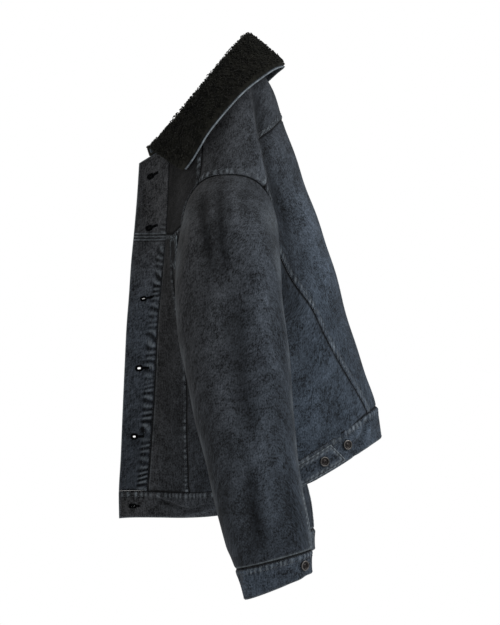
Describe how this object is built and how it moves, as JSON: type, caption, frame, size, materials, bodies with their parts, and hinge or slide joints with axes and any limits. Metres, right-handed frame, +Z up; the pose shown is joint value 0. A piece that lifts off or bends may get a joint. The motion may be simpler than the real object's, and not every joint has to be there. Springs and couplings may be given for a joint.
{
  "type": "sherpa lined denim trucker jacket, hanging open as a hollow form",
  "caption": "Denim trucker jacket with a dark curly sherpa collar, hanging open and hollow, with yokes, shaped seams, sleeves, cuffs, waistband, side tabs and metal buttons.",
  "frame": {"origin": "the centre back of the neck seam, where the jacket hangs from its loop", "axes": "+Z up, the front opening faces -Y, the jacket's own left side is +X"},
  "size_m": [0.5, 0.4152, 0.8731],
  "materials": {
    "denim": "washed charcoal denim, matt",
    "denim_worn": "washed charcoal denim, faded along its seams",
    "sherpa": "near black curly pile",
    "button_metal": "antique dark metal"
  },
  "bodies": {
    "root": {"back": "denim", "back_yoke": "denim", "centre_front_left": "denim", "centre_front_right": "denim", "collar": "sherpa", "cuff_button_left": "button_metal", "cuff_button_right": "button_metal", "cuff_left": "denim_worn", "cuff_right": "denim_worn", "front_button_1": "button_metal", "front_button_2": "button_metal", "front_button_3": "button_metal", "front_button_4": "button_metal", "front_button_5": "button_metal", "front_button_6": "button_metal", "placket_left": "denim", "placket_right": "denim", "pocket_flap_left": "denim_worn", "pocket_flap_right": "denim_worn", "side_back_left": "denim", "side_back_right": "denim", "side_front_left": "denim", "side_front_right": "denim", "spare_button_left": "button_metal", "spare_button_right": "button_metal", "tab_button_left": "button_metal", "tab_button_right": "button_metal", "top_sleeve_left": "denim", "top_sleeve_right": "denim", "under_collar": "denim", "under_sleeve_left": "denim", "under_sleeve_right": "denim", "upper_front_left": "denim", "upper_front_right": "denim", "waist_tab_left": "denim_worn", "waist_tab_right": "denim_worn", "waistband": "denim_worn"}
  },
  "joints": []
}
